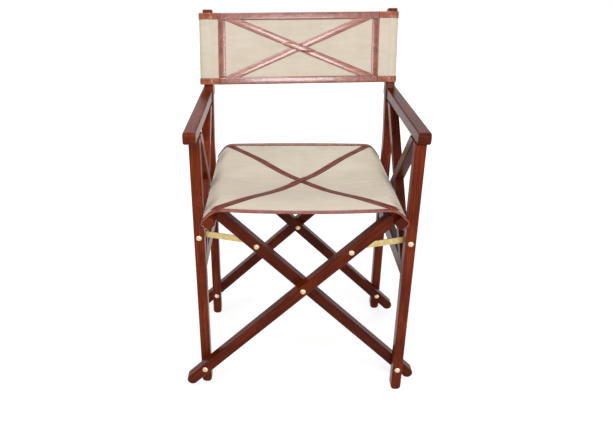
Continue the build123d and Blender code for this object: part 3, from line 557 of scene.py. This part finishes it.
def on_seat(x, depth):
    """Points of the seat's top at x and depth, and its direction outwards there.

    Each point is shared out between the two points of the canvas's section that lie next to it.
    """
    line = seat_section(depth)
    columns = top_points + bend_points
    half = line[:, line.shape[1] // 2:][:, :columns]
    column = np.clip((half[..., 0] < np.abs(x)[:, None]).sum(1) - 1, 0, columns - 2)
    row = np.arange(len(x))
    step = half[row, column + 1] - half[row, column]
    share = (np.abs(x) - half[row, column, 0]) / step[:, 0]
    points = half[row, column] + share[:, None] * step
    side = np.where(x < 0, -1, 1)
    points[:, 0] *= side
    step[:, 1:] *= side[:, None]
    return points, unit(step)


def seat_strap(name, node, side, hump):
    """A strap on the seat from a rear corner to the opposite front corner, raised by hump at the crossing.

    Its ends are cut in line with the bindings, so its outline lies along the seat's outward direction.
    """
    share = np.linspace(0, 1, seat_strap_points)
    x = side * (strap_rear_x - (strap_rear_x + strap_front_x) * share)
    tuck = seat_binding_width - strap_tuck
    y = seat_rear - tuck + share * (seat_front - seat_rear + 2 * tuck)
    path, outwards = on_seat(x, y)
    slant = np.cross(unit(np.gradient(path, axis=0)), outwards)
    upward = unit(slant)
    raised = 1 - ease((np.abs(x) - seat_crossing) / crossing_ramp)
    path = path + (on_canvas + hump * raised)[:, None] * upward
    sideways = -outwards / np.linalg.norm(slant, axis=1, keepdims=True)
    outline = strap_outline(seat_strap_width, strap_wall)
    piece = carried(name, path, sideways, upward, outline, seat_strap_leather)
    hang_between_rails(piece, node)


seat_strap("seat_strap_under", "seat_strap_lower", -1, 0.0)
seat_strap("seat_strap_over", "seat_strap_upper", 1, strap_wall)


# The back canvas: a sleeve of the same cotton slipped over the top of each leaning post,
# and the panel stretched between the two sleeves. The right sleeve stands further back.

recline = np.radians(13)
post_up = np.array([0, np.sin(recline), np.cos(recline)])
post_back = np.array([0, np.cos(recline), -np.sin(recline)])
post_width = 0.024
post_depth = 0.0265
bend_start = 0.520
bend_radius = 0.260
back_low = 0.692
back_rise = 0.171
panel_bow = 0.0025
back_height = back_rise / np.cos(recline)
sleeve_gap, seam_gap = 0.0005, 0.0002
panel_front = post_depth / 2 + sleeve_gap + canvas_wall / 2
sleeve_reach = {"left": 0.0279, "right": 0.0352}
sleeve_slack = {"left": 0.0086, "right": 0.0014}
sleeve_loose = 0.0025
seam_loose = 0.002
front_swell = 0.0035
slack_swell = 0.35
shoulder = 0.001
front_round = 0.025
outer_round = 0.006
inner_round = 0.009
seam_round = 0.0005
arc_points = 13
sleeve_points = 120
sleeve_rows = 33
panel_columns = 91
panel_rows = 41


def post_base(side):
    """The point on a leaning post's centre line at the height of the canvas's lower edge."""
    low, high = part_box(f"{side}_rear_post")
    lean_start = low[1] + post_depth / 2 + bend_radius * (1 - np.cos(recline))
    rise = back_low - bend_start - bend_radius * np.sin(recline)
    return np.array([(low[0] + high[0]) / 2, lean_start + rise * np.tan(recline), back_low])


def rounded_loop(corners, radii):
    """A closed outline through corners, each rounded by its own radius with an arc that touches its sides."""
    before, after = unit(np.roll(corners, 1, 0) - corners), unit(np.roll(corners, -1, 0) - corners)
    half = np.arccos((before * after).sum(1)) / 2
    inward = unit(before + after)
    centre = corners + inward * (radii / np.sin(half))[:, None]
    turn = np.linspace(-1, 1, arc_points) * (np.pi / 2 - half)[:, None]
    spin = np.sign(before[:, :1] * after[:, 1:] - before[:, 1:] * after[:, :1])
    cosine, sine = np.cos(turn), -spin * np.sin(turn)
    out = -inward
    arc = np.stack([out[:, :1] * cosine - out[:, 1:] * sine, out[:, :1] * sine + out[:, 1:] * cosine], -1)
    return (centre[:, None] + radii[:, None, None] * arc).reshape(-1, 2)


def sleeve_outline(side, outset):
    """The sleeve's outline, (outwards, back) from the post's centre line, and its outward directions.

    It is loose and rounded about the post, swells a little in front and closes on the seam beside the post;
    the rounded corners are joined and spaced evenly, then moved out by outset.
    """
    slack = sleeve_slack[side]
    wide, deep = post_width / 2 + slack, post_depth / 2 + sleeve_loose
    outer = outer_round + slack / 2
    corners = np.array([
        (0.0, -deep - front_swell - slack_swell * slack), (wide, -deep + shoulder), (wide, deep),
        (-post_width / 2 - seam_loose, deep), (-sleeve_reach[side], -panel_front)])
    loop = rounded_loop(corners, np.array([front_round + 2 * slack, outer, outer, inner_round, seam_round]))
    loop = np.concatenate([loop, loop[:1]])
    even = np.linspace(0, run_length(loop)[-1], sleeve_points + 1)[:-1]
    loop = np.stack([np.interp(even, run_length(loop), loop[:, k]) for k in (0, 1)], -1)
    along = unit(np.roll(loop, -1, 0) - np.roll(loop, 1, 0))
    outward = np.stack([along[:, 1], -along[:, 0]], -1)
    return loop + outset * outward, outward


def on_post(side, outline, up):
    """Outline points, (outwards, back), at heights up along a leaning post, as points in space."""
    base = post_base(side)
    outwards = np.array([np.sign(base[0]), 0, 0])
    return base + outline[..., :1] * outwards + outline[..., 1:] * post_back + up[..., None] * post_up


for side in ("left", "right"):
    ring = sleeve_outline(side, 0.0)[0]
    ring = np.concatenate([ring, ring[:1]])
    ring = ring if side == "right" else ring[::-1]
    girth = run_length(ring)
    up = np.linspace(0, back_height, sleeve_rows)[:, None]
    sleeve_uv = np.stack(np.broadcast_arrays(girth, up), -1)
    sleeve = surface(f"{side}_sleeve", on_post(side, ring, up), sleeve_uv, canvas)
    cloth_wall(sleeve)
    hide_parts(f"{side}_back_sleeve")
    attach(sleeve, f"{side}_side")

left_seam, right_seam = (
    post_base(side) - np.array([sign * (sleeve_reach[side] + seam_gap), 0, 0]) - post_back * panel_front
    for sign, side in ((-1, "left"), (1, "right")))
panel_across = unit(right_seam - left_seam)
panel_forward = unit(np.cross(panel_across, post_up))
panel_reach = np.linalg.norm(right_seam - left_seam) / 2


def on_panel(across, up, forward):
    """A point on the back panel: across from its middle, up along the posts, forward of the sheet.

    The sheet is bowed back in the middle, as half a sine wave upwards and a parabola across.
    """
    across, up, forward = np.broadcast_arrays(across, up, forward)
    bow = panel_bow * (1 - (across / panel_reach) ** 2) * np.sin(np.pi * np.clip(up / back_height, 0, 1))
    sheet = (left_seam + right_seam) / 2 + across[..., None] * panel_across + up[..., None] * post_up
    return sheet + (forward - bow)[..., None] * panel_forward


def gather_with_fold(piece, node):
    """The piece stands for a CAD node of the back, which is hidden; it moves with the right side, on a mesh
    of its own.
    """
    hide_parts(node)
    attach(piece, "right_side")
    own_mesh(piece)


across, up = np.meshgrid(
    np.linspace(-panel_reach, panel_reach, panel_columns), np.linspace(0, back_height, panel_rows))
panel = surface("back_sheet", on_panel(across, up, 0.0), np.stack([across, up], -1), canvas)
cloth_wall(panel)
gather_with_fold(panel, "back_panel")


# The leather on the back: strips folded over the panel's top and bottom edges, a band round
# each end of both sleeves, an upright strip along each seam and two crossed straps.

back_binding_width = 0.016
seam_strip_width = 0.018
back_strap_width = 0.017
binding_overrun = 0.001
strip_tuck = 0.001
strip_lap = 0.0005
band_proud = 0.002
under_foot = 0.013
under_head = 0.022
over_foot = 0.007
over_head = 0.018
back_crossing = 0.02
binding_points = 61
back_fold_points = 13
strip_points = 41
back_strap_points = 141
back_binding_leather = bridle_leather(
    "bridle_leather_back_edge", back_binding_width, wax=1.0, stitch_inset=0.0024)
band_leather = bridle_leather(
    "bridle_leather_band", back_binding_width / 2, wax=0.35, tones=("#7C331F", "#9A4E34", "#B26849"))
seam_strip_leather = bridle_leather("bridle_leather_seam_strip", seam_strip_width / 2, wax=0.6)
back_strap_leather = bridle_leather(
    "bridle_leather_back_strap", back_strap_width / 2, wax=1.0, tones=("#7B392B", "#965341", "#AD6A55"))


def back_binding(name, node, edge, inward):
    """A strip folded over an edge of the panel and carried along it: leaf in front, fold, leaf behind."""
    path = on_panel(np.linspace(-1, 1, binding_points) * (panel_reach + binding_overrun), edge, 0.0)
    turn = np.linspace(np.pi / 2, 3 * np.pi / 2, back_fold_points)
    fold = np.stack([np.cos(turn), np.sin(turn)], -1)
    leaf = binding_leaf(back_binding_width)
    outline = np.concatenate([leaf, binding_top * fold, leaf[::-1] * (1, -1), on_canvas * fold[::-1]])
    outline = outline if inward > 0 else outline[::-1]
    over_canvas, forward = (np.broadcast_to(way, path.shape) for way in (post_up * inward, panel_forward))
    piece = carried(name, path, over_canvas, forward, outline, back_binding_leather)
    gather_with_fold(piece, node)


back_binding("back_bottom_edge", "back_bottom_binding", 0.0, 1)
back_binding("back_top_edge", "back_top_binding", back_height, -1)


def strap_on_panel(name, path, outline, leather):
    """A strap laid on the front of the panel along a rising path, its ends cut level."""
    along = unit(np.gradient(path, axis=0))
    sideways = panel_across / np.linalg.norm(np.cross(along, panel_across), axis=1, keepdims=True)
    return carried(name, path, sideways, np.broadcast_to(panel_forward, path.shape), outline, leather)


strip_low, strip_high = back_binding_width - strip_tuck, back_height - back_binding_width + strip_tuck
for side, sign in (("left", -1), ("right", 1)):
    middle = sign * (panel_reach + strip_lap - seam_strip_width / 2)
    path = on_panel(middle, np.linspace(strip_low, strip_high, strip_points), on_canvas)
    strip = strap_on_panel(
        f"{side}_seam_strip", path, strap_outline(seam_strip_width, binding_wall), seam_strip_leather)
    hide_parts(f"{side}_back_strip")
    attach(strip, f"{side}_side")

reach = panel_reach - seam_strip_width
for name, node, foot, head, hump in (
        ("back_strap_under", "back_strap_lower", under_foot - reach, reach - under_head, 0.0),
        ("back_strap_over", "back_strap_upper", reach - over_foot, over_head - reach, strap_wall)):
    share = np.linspace(0, 1, back_strap_points)
    x = foot + share * (head - foot)
    raised = 1 - ease((np.abs(x) - back_crossing) / crossing_ramp)
    path = on_panel(x, strip_low + share * (strip_high - strip_low), on_canvas + hump * raised)
    strap = strap_on_panel(name, path, strap_outline(back_strap_width, strap_wall), back_strap_leather)
    gather_with_fold(strap, node)

band_middle = back_binding_width / 2 - band_proud
for side in ("left", "right"):
    ring, outward = sleeve_outline(side, on_canvas)
    ring, outward = (np.concatenate([loop, loop[:1]]) for loop in (ring, outward))
    outline = strap_outline(back_binding_width, binding_wall)
    section = ring[:, None] + outward[:, None] * outline[:, 1:]
    uv = np.stack(np.broadcast_arrays(run_length(ring)[:, None], outline[:, 0]), -1)
    round_post = slice(None) if side == "left" else slice(None, None, -1)
    for end, middle in (("lower", band_middle), ("upper", back_height - band_middle)):
        points = on_post(side, section, middle + outline[:, 0])
        band = surface(f"{side}_{end}_band", points[round_post], uv[round_post], band_leather, wrap=True)
        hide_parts(f"{side}_sleeve_bands")
        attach(band, f"{side}_side")


# The studio: a white paper floor that runs out into a white surround, a soft lamp high in front,
# weaker ones lower down, overhead, behind and on both sides, and the camera a little above the chair.

def seen_rays(tree):
    """1 for rays that look straight, in a gloss or through glass, and 0 for those that light the chair."""
    ray = add_node(tree, "ShaderNodeLightPath", {}).outputs
    seen = add_node(tree, "ShaderNodeMath", {
        0: ray["Is Camera Ray"], 1: ray["Is Glossy Ray"]}, operation="MAXIMUM").outputs[0]
    return add_node(tree, "ShaderNodeMath", {
        0: seen, 1: ray["Is Transmission Ray"]}, operation="MAXIMUM").outputs[0]


# Matt paper has no gloss. It takes the chair's soft shadow, and a glow that grows outwards turns it white.
paper, tree = bare_material("white_paper")
floor_reach = 6.0
fade_start = 0.7
fade_end = 2.2
near_glow = 0.74
place = add_node(tree, "ShaderNodeTexCoord", {}).outputs["Object"]
away = add_node(tree, "ShaderNodeVectorMath", {0: place}, operation="LENGTH").outputs["Value"]
fade = add_node(tree, "ShaderNodeMapRange", {
    "Value": away, "From Min": fade_start, "From Max": fade_end, "To Min": near_glow, "To Max": 1.0})
glow = add_node(tree, "ShaderNodeMath", {0: seen_rays(tree), 1: fade.outputs["Result"]}, operation="MULTIPLY")
glow = add_node(tree, "ShaderNodeEmission", {"Color": linear("#FFFFFF"), "Strength": glow.outputs[0]})
lit = add_node(tree, "ShaderNodeBsdfDiffuse", {"Color": linear("#B2B2B2")})
both = add_node(tree, "ShaderNodeAddShader", {0: lit.outputs["BSDF"], 1: glow.outputs["Emission"]})
add_node(tree, "ShaderNodeOutputMaterial", {"Surface": both.outputs["Shader"]})
across, back = np.meshgrid([-floor_reach, floor_reach], [-floor_reach, floor_reach])
floor = surface("floor", np.stack([across, back, 0 * across], -1), np.stack([across, back], -1), paper)
floor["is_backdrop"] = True

surround_light = 0.28
world = bpy.data.worlds.new("white_surround")
bpy.context.scene.world = world
world.use_nodes = True
tree = world.node_tree
tree.nodes.clear()
level = add_node(tree, "ShaderNodeMapRange", {
    "Value": seen_rays(tree), "To Min": surround_light, "To Max": 1.0})
sky = add_node(tree, "ShaderNodeBackground", {
    "Color": linear("#FFFFFF"), "Strength": level.outputs["Result"]})
add_node(tree, "ShaderNodeOutputWorld", {"Surface": sky.outputs["Background"]})

chair_middle = Vector((0, 0, 0.5))
for name, place, wide, high, watts in (
        ("high_lamp", (-0.1, -1.7, 2.5), 0.9, 0.9, 25),
        ("low_lamp", (0.4, -2.4, 1.45), 0.6, 0.4, 18),
        ("top_lamp", (0.1, 0.3, 2.6), 1.4, 1.4, 6),
        ("rear_lamp", (0.1, 1.9, 2.7), 1.0, 1.0, 18),
        ("left_lamp", (-1.7, -0.7, 1.8), 0.9, 0.9, 10),
        ("right_lamp", (1.6, -1.4, 1.2), 0.9, 0.9, 10)):
    lamp = bpy.data.lights.new(name, "AREA")
    lamp.shape, lamp.size, lamp.size_y, lamp.energy = "RECTANGLE", wide, high, watts
    holder = bpy.data.objects.new(name, lamp)
    holder.location = place
    holder.rotation_euler = (chair_middle - Vector(place)).to_track_quat("-Z", "Y").to_euler()
    bpy.context.scene.collection.objects.link(holder)

lens = bpy.data.cameras.new("camera")
lens.sensor_width, lens.lens = 36.0, 35.26
lens.shift_x, lens.shift_y = 0.0597, -0.0121
camera = bpy.data.objects.new("camera", lens)
camera.location = (-0.0658, -1.4163, 1.0582)
camera.rotation_euler = np.radians((65.52, 0.139, 0.471))
bpy.context.scene.collection.objects.link(camera)
bpy.context.scene.camera = camera
bpy.context.scene.view_settings.view_transform = "Standard"

low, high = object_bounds()
